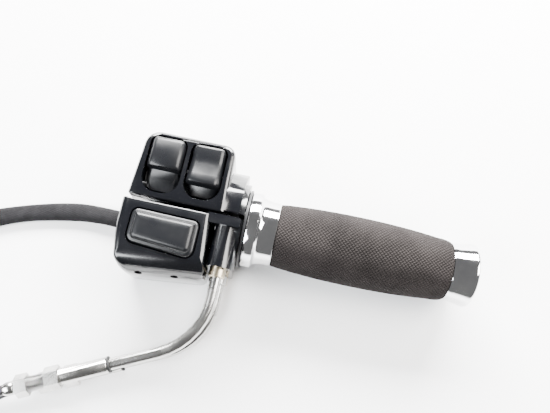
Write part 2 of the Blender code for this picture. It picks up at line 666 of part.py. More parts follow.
def make_twist_grip():
    """Sleeve with drum and flange, collar, foam grip and end cap."""
    groove_left, groove_right = DRUM_MIDDLE - GROOVE_WIDTH / 2, DRUM_MIDDLE + GROOVE_WIDTH / 2
    flange_right = FLANGE_LEFT + FLANGE_THICKNESS
    sleeve = add_part("throttle_sleeve", turned([
        (DRUM_LEFT, SLEEVE_BORE), (DRUM_LEFT, DRUM_RADIUS), (groove_left, DRUM_RADIUS),
        (groove_left, GROOVE_RADIUS), (groove_right, GROOVE_RADIUS), (groove_right, DRUM_RADIUS),
        (DRUM_RIGHT, DRUM_RADIUS), (DRUM_RIGHT, SLEEVE_RADIUS), (FLANGE_LEFT, SLEEVE_RADIUS),
        (FLANGE_LEFT, FLANGE_RADIUS), (flange_right, FLANGE_RADIUS), (flange_right, SLEEVE_RADIUS),
        (SLEEVE_END, SLEEVE_RADIUS), (SLEEVE_END, SLEEVE_BORE),
    ]), "nylon")
    for name, (side, angle) in CABLES.items():
        foot = (0, CABLE_OFFSET * math.cos(angle), side * CABLE_OFFSET * math.sin(angle))
        left, right = DRUM_MIDDLE - BARREL_LENGTH / 2, DRUM_MIDDLE + BARREL_LENGTH / 2
        shape_with(sleeve, rod(BARREL_RADIUS + GAP, left - GAP, DRUM_RIGHT + 2, foot=foot))
        barrel = rod(BARREL_RADIUS, left, right, foot=foot)
        add_part(f"{name}_cable_barrel", barrel, "brass")

    start, ring_end = COLLAR_START, COLLAR_START + COLLAR_RING_LENGTH
    end, ring = COLLAR_START + COLLAR_LENGTH, COLLAR_RING_RADIUS
    waist = GRIP_END_RADIUS + 0.3
    curve = [(ring_end + 1.1 + (end - ring_end - 2.6) * (1 - math.cos(a)), waist + 1.6 * (1 - math.sin(a)))
             for a in (0.0, 0.4, 0.8, 1.2, math.pi / 2)]
    add_part("grip_collar", turned([
        (start, OVER_SLEEVE), (start, ring - 0.7), (start + 0.7, ring), (ring_end, ring),
        (ring_end + 0.7, ring - 0.8), *curve, (end, waist), (end, OVER_SLEEVE),
    ]), "chrome")

    start, end = GRIP_START, GRIP_START + GRIP_LENGTH
    shoulder = end - GRIP_SHOULDER
    middle, half = (start + shoulder) / 2, (shoulder - start) / 2
    swell = GRIP_BELLY_RADIUS - GRIP_END_RADIUS
    sides = []
    for k in range(GRIP_STEPS + 1):
        along = start + (shoulder - start) * k / GRIP_STEPS
        sides.append((along, GRIP_END_RADIUS + swell * (1 - abs((along - middle) / half) ** 2.2)))
    close = [(shoulder + GRIP_SHOULDER * math.sin(a), GRIP_END_RADIUS - 1.6 * (1 - math.cos(a)))
             for a in (0.5, 1.0, math.pi / 2)]
    add_part("foam_grip", turned([(start, OVER_SLEEVE), *sides, *close, (end, OVER_SLEEVE)]), "foam")

    start, end = CAP_START, CAP_START + CAP_LENGTH
    rim = end - 2.0
    flare = [(start + (rim - start) * t, CAP_NECK_RADIUS + (CAP_RIM_RADIUS - CAP_NECK_RADIUS) * t ** 1.8)
             for t in (0.0, 0.25, 0.5, 0.75, 1.0)]
    dome = [(end + CAP_DOME * (1 - (r / (CAP_RIM_RADIUS - 1.4)) ** 2), r) for r in (16.5, 13.0, 9.0, 5.0, 0.0)]
    inner_end = SLEEVE_END + 1.0
    add_part("end_cap", turned([
        (inner_end, 0.0), (inner_end, OVER_SLEEVE), (start, OVER_SLEEVE), *flare,
        (end - 0.8, CAP_RIM_RADIUS - 0.1), (end - 0.1, CAP_RIM_RADIUS - 0.7), *dome,
    ]), "chrome")


# ---------------------------------------------------------------- cables and harness

def elbow_path(z):
    """Centre line of a cable elbow: down from the port, round the bend, on to the adjuster."""
    path = [(DRUM_MIDDLE, PORT_SEAT - GAP, z), (DRUM_MIDDLE, -ELBOW_DROP + 4, z)]
    for k in range(ELBOW_STEPS + 1):
        angle = ELBOW_TURN * k / ELBOW_STEPS
        x = DRUM_MIDDLE - ELBOW_BEND * (1 - math.cos(angle))
        path.append((x, -ELBOW_DROP - ELBOW_BEND * math.sin(angle), z))
    bend_end = Vector(path[-1])
    path.append(bend_end + ELBOW_HEADING * 6.0)
    path.append(bend_end + ELBOW_HEADING * (ELBOW_RUN + ELBOW_IN_ADJUSTER))
    return path


def cable_mouth(z):
    """Where the adjuster's sleeve starts on the elbow."""
    return elbow_path(z)[-1] - ELBOW_HEADING * ELBOW_IN_ADJUSTER


def hex_bar(across, start, end, foot, way):
    """Solid hexagonal bar along a line."""
    turn = Vector((1, 0, 0)).rotation_difference(Vector(way)).to_matrix().to_4x4()
    bar = prism(hexagon(across), start, end, "X")
    bar.transform(Matrix.Translation(foot) @ turn)
    return bar


def make_cable(name, side):
    """Fixed end of one cable: insert, elbow, wire, adjuster, jam nut and ferrule."""
    z = side * CABLE_OFFSET
    foot = (DRUM_MIDDLE, 0, z)
    insert_low = BOSS_BOTTOM - INSERT_SHOWS
    add_part(f"{name}_retaining_insert", turned([
        (insert_low, ELBOW_RADIUS + GAP), (insert_low, INSERT_RADIUS - 0.5), (insert_low + 0.5, INSERT_RADIUS),
        (PORT_SEAT - GAP, INSERT_RADIUS), (PORT_SEAT - GAP, ELBOW_RADIUS + GAP),
    ], CABLE_STEPS, foot, (0, 1, 0)), "brass")
    add_part(f"{name}_elbow", swept(elbow_path(z), ELBOW_RADIUS, HOLE_STEPS, bore=ELBOW_BORE), "steel")
    add_part(f"{name}_inner_wire", rod(WIRE_RADIUS, 1.8, ELBOW_DROP - 3, 8, foot, (0, -1, 0)), "steel")

    mouth, way = cable_mouth(z), ELBOW_HEADING
    seal = bush(ELBOW_RADIUS + GAP, ADJUSTER_RADIUS + 0.15, -1.3, -GAP, CABLE_STEPS, mouth, way)
    add_part(f"{name}_adjuster_seal", seal, "rubber")
    hex_end = ADJUSTER_LENGTH + HEX_LENGTH
    sleeve = add_part(f"{name}_adjuster_sleeve", turned([
        (0, 0), (0, ADJUSTER_RADIUS - 0.4), (0.5, ADJUSTER_RADIUS),
        (ADJUSTER_LENGTH + 1, ADJUSTER_RADIUS), (ADJUSTER_LENGTH + 1, 0),
    ], CABLE_STEPS, mouth, way), "steel")
    shape_with(sleeve, hex_bar(HEX_ACROSS, ADJUSTER_LENGTH, hex_end, mouth, way), "UNION")
    thread_start = ADJUSTER_LENGTH + 1.6
    elbow_seat = ELBOW_IN_ADJUSTER + GAP
    shape_with(sleeve, turned([
        (-2, 0), (-2, ELBOW_RADIUS + GAP), (elbow_seat, ELBOW_RADIUS + GAP), (elbow_seat, ELBOW_BORE),
        (thread_start, ELBOW_BORE), (thread_start, THREAD_RADIUS + GAP), (hex_end + 2, THREAD_RADIUS + GAP),
        (hex_end + 2, 0),
    ], CABLE_STEPS, mouth, way))
    thread_end = hex_end + THREAD_SHOWS
    thread = bush(ELBOW_BORE, THREAD_RADIUS, thread_start + GAP, thread_end, CABLE_STEPS, mouth, way)
    add_part(f"{name}_adjuster_thread", thread, "steel")
    nut_end = thread_end - 0.8
    nut_start = nut_end - NUT_LENGTH
    nut = hex_bar(HEX_ACROSS - 0.4, nut_start, nut_end, mouth, way)
    jam_nut = add_part(f"{name}_jam_nut", nut, "steel", mouth + way * nut_end)
    shape_with(jam_nut, rod(THREAD_RADIUS + GAP, nut_start - 1, nut_end + 1, CABLE_STEPS, mouth, way))
    start = thread_end + GAP
    add_part(f"{name}_casing_ferrule", turned([
        (start, 0), (start, FERRULE_RADIUS - 0.4), (start + 0.5, FERRULE_RADIUS),
        (start + 3.4, FERRULE_RADIUS), (start + FERRULE_LENGTH, FERRULE_RADIUS - 0.7), (start + FERRULE_LENGTH, 0),
    ], CABLE_STEPS, mouth, way), "steel")
    return mouth + way * (start + FERRULE_LENGTH + GAP)


def make_cable_tip(name, middle):
    """Far end of one cable, lying across its coil: long ferrule, and the wire with its nipple."""
    x, y = middle
    radius = FERRULE_RADIUS - 0.5
    foot = (x + TIP_FOOT[0], y + TIP_FOOT[1], FRONT_FACE + CASING_DIAMETER + GAP + radius)
    way = Vector((math.cos(TIP_HEADING), math.sin(TIP_HEADING), 0.0))
    ferrule = bush(WIRE_RADIUS + GAP, radius, 0, TIP_FERRULE_LENGTH, CABLE_STEPS, foot, way)
    add_part(f"{name}_tip_ferrule", ferrule, "steel")
    out = TIP_FERRULE_LENGTH + TIP_STICKS_OUT[name]
    inside = min(TIP_FERRULE_LENGTH - 2.5, TIP_TRAVEL_ROOM - TIP_STICKS_OUT[name])
    add_part(f"{name}_wire_tip", turned([
        (TIP_FERRULE_LENGTH - inside, 0), (TIP_FERRULE_LENGTH - inside, WIRE_RADIUS), (out - 3.4, WIRE_RADIUS),
        (out - 3.4, TIP_RADIUS), (out, TIP_RADIUS), (out, 0),
    ], HOLE_STEPS, foot, way), "brass", foot)


def smooth_route(points, spacing):
    """Evenly spaced points along a smooth curve through hand-placed ones."""
    places = [Vector(point) for point in points]
    places = [2 * places[0] - places[1], *places, 2 * places[-1] - places[-2]]
    fine = []
    for a, b, c, d in zip(places, places[1:], places[2:], places[3:]):
        for k in range(24):
            t = k / 24
            bend = (2 * a - 5 * b + 4 * c - d) * t + (3 * b - a - 3 * c + d) * t * t
            fine.append(b + 0.5 * t * (c - a + bend))
    fine.append(places[-2])
    length = sum((q - p).length for p, q in zip(fine, fine[1:]))
    count = max(2, round(length / spacing))
    route, run, wanted = [fine[0]], 0.0, length / count
    for p, q in zip(fine, fine[1:]):
        step = (q - p).length
        while run + step >= wanted - 1e-9 and len(route) < count:
            route.append(p.lerp(q, (wanted - run) / step))
            wanted += length / count
        run += step
    return [*route, fine[-1]]


def add_cord(name, points, diameter, look):
    """Flexible tube along a route, with closed ends."""
    route = smooth_route(points, diameter * 2.2)
    curve = bpy.data.curves.new(name, "CURVE")
    curve.dimensions = "3D"
    curve.bevel_depth = diameter / 2 * MM
    curve.bevel_resolution = 2
    curve.use_fill_caps = True
    curve.render_resolution_u = 0
    curve.materials.append(finish(look))
    spline = curve.splines.new("POLY")
    spline.points.add(len(route) - 1)
    for point, place in zip(spline.points, route):
        point.co = (*(place * MM), 1.0)
    cord = bpy.data.objects.new(name, curve)
    bpy.context.collection.objects.link(cord)
    cord.parent = bar_centre
    return cord


def make_coil(name, middle, radii, height, look):
    """Outer shape of a coil of cord lying flat."""
    foot = (*middle, FRONT_FACE)
    add_part(name, bush(*radii, 0, height, WIDE_STEPS, foot, (0, 0, 1)), look)


def make_cords(casing_starts):
    """Cable casings and harness, from the control to their coils on the table."""
    lie = FRONT_FACE + CASING_DIAMETER / 2 + TABLE_GAP
    over_coil = CASING_COIL_RADII[1] + GAP + CASING_DIAMETER / 2
    entry = Vector((over_coil * math.cos(COIL_ENTRY), over_coil * math.sin(COIL_ENTRY), lie))
    routes = {
        "throttle": [(-17.5, -10.3, -17.4), (-26.5, -16.9, -18.7), (-34.5, -22.8, lie)],
        "idle": [
            (-19.5, -8.8, 14.4), (-32.5, -11.8, 11.3), (-44.5, -13.2, 7.5), (-55.5, -14.1, 3.4),
            (-67.5, -15.1, -1.4), (-80.5, -16.6, -6.6), (-92.5, -18.5, -11.2), (-103.5, -20.2, -15.2),
            (-113.0, -23.5, -17.9),
        ],
    }
    for name, start in casing_starts.items():
        level_start = Vector((start.x, start.y, 0.0))
        middle = level_start + Vector((*CASING_COILS[name], 0.0))
        places = [level_start + Vector(place) for place in routes[name]]
        straight = start + ELBOW_HEADING * CASING_STRAIGHT
        add_cord(f"{name}_casing", [start, straight, *places, middle + entry], CASING_DIAMETER, "casing")
        make_coil(f"{name}_casing_coil", middle.xy, CASING_COIL_RADII, CASING_DIAMETER, "casing")
        make_cable_tip(name, middle.xy)


def make_harness():
    """Grommet in the housing's slot, harness sleeve, coil, tail and connector."""
    half_w, half_t = HARNESS_WIDTH / 2 + 1.3, HARNESS_THICKNESS / 2 + 0.6
    left, right = HOUSING_LEFT - 2.6, HOUSING_LEFT + 5.0
    grommet = add_part("harness_grommet", block(
        left, right, HARNESS_Y - half_w, HARNESS_Y + half_w - 1.4, HARNESS_Z - half_t, HARNESS_Z + half_t,
    ), "rubber")
    hole = outline(box_corners(
        HARNESS_Y - HARNESS_WIDTH / 2, HARNESS_Y + HARNESS_WIDTH / 2 - 0.9,
        HARNESS_Z - HARNESS_THICKNESS / 2, HARNESS_Z + HARNESS_THICKNESS / 2, 1.6,
    ), 0.0, 3)
    shape_with(grommet, prism(hole, left - 5, right + 5, "X"))

    lie = FRONT_FACE + HARNESS_DIAMETER / 2 + TABLE_GAP
    start = Vector((left - GAP, HARNESS_Y, 0.0))
    places = [
        (-9.5, 1.0, -17.9), (-21.5, 1.2, lie), (-34.5, 0.2, lie), (-54.5, -4.2, lie), (-72.0, -10.0, lie),
        (-86.0, -16.8, lie), (-96.6, -25.0, lie), (-102.9, -31.6, lie),
    ]
    route = [start + Vector((0.0, 0.0, HARNESS_Z)), *(start + Vector(place) for place in places)]
    add_cord("harness_sleeve", route, HARNESS_DIAMETER, "casing")
    x, y = start.xy + Vector(HARNESS_COIL)
    make_coil("harness_coil", (x, y), HARNESS_COIL_RADII, HARNESS_DIAMETER, "casing")
    tail = [
        (x + 36.0, y - 8.0, lie), (x + 32.0, y - 16.5, lie), (x + 24.5, y - 21.3, lie), (x + 14.5, y - 22.0, lie),
    ]
    route = add_cord("harness_tail", tail, HARNESS_DIAMETER, "casing").data.splines[0].points
    way = (route[-1].co - route[-2].co).to_3d().normalized()
    foot = Vector(tail[-1]) + way * GAP
    turn = Vector((1, 0, 0)).rotation_difference(way).to_matrix().to_4x4()
    shell = outline(box_corners(-8.0, 8.0, FRONT_FACE - lie + 0.02, 6.5, 1.5), 0.0, 3)
    connector = prism(shell, 2.0, 28.0, "X")
    connector.transform(Matrix.Translation(foot) @ turn)
    plug = add_part("harness_connector", connector, "nylon")
    shape_with(plug, rod(HARNESS_DIAMETER / 2, 0, 3, CABLE_STEPS, foot, way), "UNION")
    mouth = prism(outline(box_corners(-6.4, 6.4, FRONT_FACE - lie + 1.6, 4.9, 1.0), 0.0, 3), 18.0, 30.0, "X")
    mouth.transform(Matrix.Translation(foot) @ turn)
    shape_with(plug, mouth)


def make_fasteners():
    """Clamp screws of the housing, and the throttle's friction screw with its spring and shoe."""
    for side, x in zip(("left", "right"), CLAMP_SCREWS):
        length = CLAMP_DEPTH - CLAMP_SEAT
        foot = (x, CLAMP_SEAT - GAP, CLAMP_Z)
        socket_screw(f"clamp_screw_{side}", foot, (0, 1, 0), CLAMP_HEAD, 4.4, CLAMP_HOLE - 0.4, length, 3.6)
    shank = FRICTION_HOLE - 0.4
    head = BOSS_BOTTOM - 1.0
    tip = -DRUM_ROOM - 3.6
    foot = (DRUM_MIDDLE, 0, 0)
    add_part("friction_screw", turned([
        (head - 5.5, 0), (head - 5.5, 4.4), (head - 5.0, 4.9), (head - 1.0, 4.9), (head - 0.5, 4.4),
        (head - 0.5, shank), (tip, shank), (tip, 0),
    ], CABLE_STEPS, foot, (0, 1, 0)), "steel", foot)
    shoe_low = tip + FRICTION_TRAVEL + GAP
    shoe = rod(shank, shoe_low, -DRUM_RADIUS - FRICTION_TRAVEL - GAP, foot=foot, way=(0, 1, 0))
    add_part("friction_shoe", shoe, "nylon")


def stand_on_origin(bar_centre, cord_names):
    """Put the middle of the control's footprint over the origin, standing on z = 0."""
    bpy.context.view_layer.update()
    corners = []
    for part in bpy.data.objects:
        loose = any(word in part.name for word in cord_names)
        if part.type == "MESH" and not part.hide_render and not loose:
            corners += [part.matrix_world @ Vector(corner) for corner in part.bound_box]
    low = [min(corner[axis] for corner in corners) for axis in range(2)]
    high = [max(corner[axis] for corner in corners) for axis in range(2)]
    bar_centre.location.x -= (low[0] + high[0]) / 2
    bar_centre.location.y -= (low[1] + high[1]) / 2


for old in list(bpy.data.objects):
    bpy.data.objects.remove(old, do_unlink=True)

bar_centre = bpy.data.objects.new("bar_centre", None)
bpy.context.collection.objects.link(bar_centre)
bar_centre.location = (0.0, 0.0, AXIS_HEIGHT * MM)

make_upper_housing()
make_lower_housing()
make_fasteners()
make_switches()
make_turn_button()
make_twist_grip()
casing_starts = {name: make_cable(name, side) for name, (side, angle) in CABLES.items()}
make_cords(casing_starts)
make_harness()
stand_on_origin(bar_centre, ("_coil", "_tip", "harness_connector"))
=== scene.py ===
"""Looks of a right-hand throttle grip lying on a white table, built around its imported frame."""
import json
import math

import bmesh
import bpy
from mathutils import Matrix, Vector

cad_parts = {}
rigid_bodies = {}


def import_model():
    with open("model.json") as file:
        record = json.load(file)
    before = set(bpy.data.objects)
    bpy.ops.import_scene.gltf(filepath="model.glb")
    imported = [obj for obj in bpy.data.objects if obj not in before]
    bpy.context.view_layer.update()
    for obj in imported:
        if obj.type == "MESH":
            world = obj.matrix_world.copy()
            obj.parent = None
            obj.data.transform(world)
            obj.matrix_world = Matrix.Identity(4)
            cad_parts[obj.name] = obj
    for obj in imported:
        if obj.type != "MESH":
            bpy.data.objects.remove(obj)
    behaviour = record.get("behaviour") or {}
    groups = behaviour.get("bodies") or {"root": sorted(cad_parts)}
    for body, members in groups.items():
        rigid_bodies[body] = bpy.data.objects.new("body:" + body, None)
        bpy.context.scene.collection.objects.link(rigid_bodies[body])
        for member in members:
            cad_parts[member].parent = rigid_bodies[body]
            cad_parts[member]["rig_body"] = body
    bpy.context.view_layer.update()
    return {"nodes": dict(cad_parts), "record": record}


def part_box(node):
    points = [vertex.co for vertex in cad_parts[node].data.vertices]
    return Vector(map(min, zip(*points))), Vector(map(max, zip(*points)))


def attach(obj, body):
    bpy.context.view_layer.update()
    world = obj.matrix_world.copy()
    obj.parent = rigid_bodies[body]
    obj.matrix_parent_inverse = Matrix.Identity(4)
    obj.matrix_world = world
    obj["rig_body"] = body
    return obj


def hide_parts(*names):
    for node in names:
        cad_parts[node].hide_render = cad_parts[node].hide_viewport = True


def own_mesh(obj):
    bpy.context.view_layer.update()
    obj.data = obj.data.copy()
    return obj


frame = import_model()
nodes = frame["nodes"]

MM = 0.001


# ---------------------------------------------------------------- places, read from the frame

def middle_of(node):
    low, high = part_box(node)
    return (low + high) / 2


DRUM_LEFT = -12.9
FRONT_FACE = -22.0
GAP = 0.3
BAR = middle_of("throttle_sleeve")
BAR.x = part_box("throttle_sleeve")[0].x - DRUM_LEFT * MM


def at(x, y, z):
    """A place in metres from millimetres off the handlebar's centre line, x from the grip's flange."""
    return BAR + Vector((x, y, z)) * MM


ROW_X = Vector((1.0, 0.0, 0.0))
ELBOW_TURN = math.radians(65.0)
ELBOW_HEADING = Vector((-math.sin(ELBOW_TURN), -math.cos(ELBOW_TURN), 0.0))


# ---------------------------------------------------------------- camera and light

CAMERA_TILT = math.radians(14.5)
CAMERA_ROLL = math.radians(11.9)
CAMERA_AWAY = 323.0
CAMERA_AIM = (13.95, 15.7)
LENS = 37.64


def add_camera():
    """Camera above the bench, leaning towards the lower housing and rolled with the bar."""
    lean = Vector((0.0, math.cos(CAMERA_TILT), math.sin(CAMERA_TILT)))
    back = Vector((0.0, -math.sin(CAMERA_TILT), math.cos(CAMERA_TILT)))
    right = math.cos(CAMERA_ROLL) * ROW_X + math.sin(CAMERA_ROLL) * lean
    up = math.cos(CAMERA_ROLL) * lean - math.sin(CAMERA_ROLL) * ROW_X
    camera = bpy.data.objects.new("camera", bpy.data.cameras.new("camera"))
    bpy.context.scene.collection.objects.link(camera)
    place = BAR + (CAMERA_AIM[0] * ROW_X + CAMERA_AIM[1] * lean + CAMERA_AWAY * back) * MM
    turn = Matrix((right, up, back)).transposed().to_4x4()
    camera.matrix_world = Matrix.Translation(place) @ turn
    camera.data.lens = LENS
    camera.data.sensor_width = 36.0
    camera.data.clip_start = 0.01
    bpy.context.scene.camera = camera


def area_light(name, place, aim, size, power, colour=(1.0, 1.0, 1.0)):
    """Rectangular light at one place in the bar's millimetres, turned towards another."""
    light = bpy.data.objects.new(name, bpy.data.lights.new(name, "AREA"))
    light.data.shape = "RECTANGLE"
    light.data.size, light.data.size_y = size
    light.data.energy = power
    light.data.color = colour
    bpy.context.scene.collection.objects.link(light)
    light.location = at(*place)
    light.rotation_euler = (at(*aim) - light.location).to_track_quat("-Z", "Y").to_euler()


def add_studio():
    """White table, pale surroundings and soft light from beyond the upper housing."""
    world = bpy.data.worlds.new("studio")
    world.use_nodes = True
    world.node_tree.nodes["Background"].inputs["Color"].default_value = (1.0, 1.0, 1.0, 1.0)
    world.node_tree.nodes["Background"].inputs["Strength"].default_value = 0.2
    bpy.context.scene.world = world
    bm = bmesh.new()
    bmesh.ops.create_grid(bm, x_segments=1, y_segments=1, size=3.0)
    bmesh.ops.translate(bm, verts=bm.verts, vec=(0.0, 0.0, -0.0002))
    table = new_piece("table", bm, table_finish())
    area_light("window", (-40, 640, 360), (20, 0, 0), (0.9, 0.3), 90.0)
    area_light("lamp_side", (480, 160, 420), (40, 0, 0), (0.3, 0.5), 13.0, (1.0, 0.97, 0.94))
    area_light("lamp_low", (-380, -260, 420), (0, 0, 0), (0.5, 0.3), 13.0, (0.94, 0.97, 1.0))


# ---------------------------------------------------------------- finishes

def shader(name, colour, roughness, metallic=0.0, shine=0.5):
    """New material with its Principled shader and an object-coordinate node."""
    material = bpy.data.materials.new(name)
    material.use_nodes = True
    tree = material.node_tree
    surface = tree.nodes["Principled BSDF"]
    surface.inputs["Base Color"].default_value = (*colour, 1.0)
    surface.inputs["Roughness"].default_value = roughness
    surface.inputs["Metallic"].default_value = metallic
    surface.inputs["Specular IOR Level"].default_value = shine
    place = tree.nodes.new("ShaderNodeTexCoord").outputs["Object"]
    return material, tree, surface, place


def add_node(tree, kind, links=(), **values):
    """New shader node with its settings, and its inputs linked or set by name."""
    node = tree.nodes.new(kind)
    for key, value in values.items():
        setattr(node, key, value)
    for socket, value in links:
        if isinstance(value, bpy.types.NodeSocket):
            tree.links.new(value, node.inputs[socket])
        else:
            node.inputs[socket].default_value = value
    return node


def noise(tree, place, scale, detail=3.0, roughness=0.5):
    links = (("Vector", place), ("Scale", scale), ("Detail", detail), ("Roughness", roughness))
    return add_node(tree, "ShaderNodeTexNoise", links).outputs["Fac"]


def ramp(tree, value, low, high, low_at=0.3, high_at=0.7):
    """Value stretched between two numbers, or two colours."""
    if isinstance(low, tuple):
        mix = add_node(tree, "ShaderNodeValToRGB", (("Fac", value),))
        for stop, place, colour in zip(mix.color_ramp.elements, (low_at, high_at), (low, high)):
            stop.position = place
            stop.color = (*colour, 1.0)
        return mix.outputs["Color"]
    links = (("Value", value), ("From Min", low_at), ("From Max", high_at), ("To Min", low), ("To Max", high))
    return add_node(tree, "ShaderNodeMapRange", links).outputs["Result"]


def math_node(tree, operation, first, second=0.0):
    return add_node(tree, "ShaderNodeMath", ((0, first), (1, second)), operation=operation).outputs[0]


def bump(tree, surface, height, strength, distance):
    links = (("Height", height), ("Strength", strength), ("Distance", distance))
    raised = add_node(tree, "ShaderNodeBump", links)
    tree.links.new(raised.outputs["Normal"], surface.inputs["Normal"])


def table_finish():
    return shader("white_table", (0.97, 0.968, 0.965), 0.7)[0]


def black_enamel():
    """Deep gloss stove enamel with a faint orange peel and fine dust."""
    material, tree, surface, place = shader("black_enamel", (0.002, 0.0022, 0.003), 0.14)
    surface.inputs["Coat Weight"].default_value = 0.3
    surface.inputs["Coat Roughness"].default_value = 0.06
    speck = noise(tree, place, 2600.0, 2.0)
    cloud = noise(tree, place, 60.0, 4.0)
    dusty = math_node(tree, "MULTIPLY", ramp(tree, speck, 0.0, 1.0, 0.68, 0.76), cloud)
    colour = ramp(tree, dusty, (0.002, 0.0022, 0.003), (0.035, 0.035, 0.037), 0.1, 0.9)
    tree.links.new(colour, surface.inputs["Base Color"])
    tree.links.new(ramp(tree, cloud, 0.12, 0.24), surface.inputs["Roughness"])
    bump(tree, surface, noise(tree, place, 500.0, 2.0), 0.12, 0.00005)
    return material


def switch_plastic():
    """Moulded charcoal plastic, fine grained, polished by thumbs here and there."""
    material, tree, surface, place = shader("switch_plastic", (0.008, 0.0085, 0.0095), 0.34, shine=0.3)
    worn = noise(tree, place, 90.0, 5.0, 0.6)
    colour = ramp(tree, worn, (0.0022, 0.0024, 0.003), (0.0048, 0.0051, 0.006))
    tree.links.new(colour, surface.inputs["Base Color"])
    tree.links.new(ramp(tree, worn, 0.38, 0.24), surface.inputs["Roughness"])
    bump(tree, surface, noise(tree, place, 2400.0, 3.0), 0.35, 0.00004)
    return material


def chrome():
    """Bright plating with faint smears."""
    material, tree, surface, place = shader("chrome", (0.86, 0.86, 0.87), 0.05, 1.0)
    smear = noise(tree, place, 45.0, 5.0, 0.65)
    tree.links.new(ramp(tree, smear, (0.74, 0.74, 0.76), (0.9, 0.9, 0.9)), surface.inputs["Base Color"])
    tree.links.new(ramp(tree, smear, 0.04, 0.11), surface.inputs["Roughness"])
    bump(tree, surface, noise(tree, place, 160.0, 3.0), 0.05, 0.00005)
    return material


def steel(name="steel", colour=(0.6, 0.59, 0.57), rough=(0.16, 0.32)):
    """Plated steel with fine draw marks and handling stains."""
    material, tree, surface, place = shader(name, colour, 0.25, 1.0)
    stain = noise(tree, place, 130.0, 5.0, 0.65)
    dark = tuple(0.62 * part for part in colour)
    tree.links.new(ramp(tree, stain, dark, colour), surface.inputs["Base Color"])
    tree.links.new(ramp(tree, stain, rough[1], rough[0]), surface.inputs["Roughness"])
    bump(tree, surface, noise(tree, place, 1500.0, 3.0), 0.2, 0.00003)
    return material


THREAD_PITCH = 0.0009


def cut_thread():
    """Plated steel with the turns of a fine thread along the cable adjuster, their grooves painted dark as
    shade.
    """
    material, tree, surface, place = shader("cut_thread", (0.5, 0.49, 0.48), 0.22, 1.0)
    links = ((0, place), (1, tuple(ELBOW_HEADING)))
    along = add_node(tree, "ShaderNodeVectorMath", links, operation="DOT_PRODUCT").outputs["Value"]
    turn = math_node(tree, "SINE", math_node(tree, "MULTIPLY", along, math.tau / THREAD_PITCH))
    # Painted shade: the colour falls to near black in the thread's grooves, following the bump.
    colour = ramp(tree, turn, (0.10, 0.10, 0.10), (0.62, 0.61, 0.6), 0.0, 0.9)
    tree.links.new(colour, surface.inputs["Base Color"])
    bump(tree, surface, turn, 1.0, 0.0003)
    return material


def dull_black(name, colour, roughness, grain, depth):
    """Black nylon, rubber or casing with its own grain."""
    material, tree, surface, place = shader(name, colour, roughness, shine=0.3)
    patch = noise(tree, place, 120.0, 4.0)
    light = tuple(1.6 * part for part in colour)
    tree.links.new(ramp(tree, patch, colour, light), surface.inputs["Base Color"])
    tree.links.new(ramp(tree, patch, roughness - 0.06, roughness + 0.08), surface.inputs["Roughness"])
    bump(tree, surface, noise(tree, place, grain, 3.0), 0.4, depth)
    return material


KNURLS_AROUND = 58
KNURL_PITCH = 0.0021


def foam():
    """Closed-cell foam pressed with a fine diamond knurl."""
    material, tree, surface, place = shader("foam", (0.04, 0.037, 0.037), 0.92, shine=0.06)
    centred = add_node(tree, "ShaderNodeMapping", (("Vector", place), ("Location", tuple(-BAR))))
    axes = add_node(tree, "ShaderNodeSeparateXYZ", (("Vector", centred.outputs["Vector"]),))
    around = math_node(tree, "ARCTAN2", axes.outputs["Y"], axes.outputs["Z"])
    arc = math_node(tree, "MULTIPLY", around, KNURLS_AROUND / 2)
    along = math_node(tree, "MULTIPLY", axes.outputs["X"], math.pi / KNURL_PITCH)
    lines = []
    for way in ("ADD", "SUBTRACT"):
        wave = math_node(tree, "SINE", math_node(tree, way, along, arc))
        lines.append(math_node(tree, "ABSOLUTE", wave))
    knurl = math_node(tree, "MINIMUM", *lines)
    cells = noise(tree, place, 1900.0, 3.0, 0.6)
    patch = noise(tree, place, 42.0, 5.0, 0.62)
    raised = math_node(tree, "MULTIPLY", knurl, 0.8)
    height = math_node(tree, "ADD", raised, math_node(tree, "MULTIPLY", cells, 0.5))
    # Painted shade: the knurl's grooves are painted darker than its ridges, and random patches of tone are
    # mixed in.
    knurl_groove_shade = ramp(tree, knurl, 0.55, 1.0, 0.05, 0.45)
    patchy_groove_shade = math_node(tree, "MULTIPLY", knurl_groove_shade, ramp(tree, patch, 0.7, 1.15))
    colour = ramp(tree, patchy_groove_shade, (0.002, 0.0016, 0.0016), (0.026, 0.0225, 0.0215), 0.3, 1.05)
    tree.links.new(colour, surface.inputs["Base Color"])
    bump(tree, surface, height, 1.0, 0.0006)
    return material


STRANDS_ALONG = 2200.0
STRANDS_AROUND = 60.0


def wrapped_sleeve():
    """Black braided sleeve, lightly scuffed, its weave set by the sleeve's own length and width."""
    material, tree, surface, place = shader("wiring_sleeve", (0.02, 0.0195, 0.021), 0.6, shine=0.1)
    own = add_node(tree, "ShaderNodeUVMap", uv_map="UVMap").outputs["UV"]
    axes = add_node(tree, "ShaderNodeSeparateXYZ", (("Vector", own),))
    along = math_node(tree, "MULTIPLY", axes.outputs["X"], STRANDS_ALONG)
    around = math_node(tree, "MULTIPLY", axes.outputs["Y"], STRANDS_AROUND * math.tau / 2)
    waves = [math_node(tree, "SINE", math_node(tree, way, along, around)) for way in ("ADD", "SUBTRACT")]
    weave = math_node(tree, "MAXIMUM", *waves)
    scuff = noise(tree, place, 200.0, 4.0)
    colour = ramp(tree, scuff, (0.0035, 0.0032, 0.0037), (0.009, 0.0085, 0.0095))
    tree.links.new(colour, surface.inputs["Base Color"])
    bump(tree, surface, weave, 0.5, 0.0002)
    return material


# ---------------------------------------------------------------- making pieces

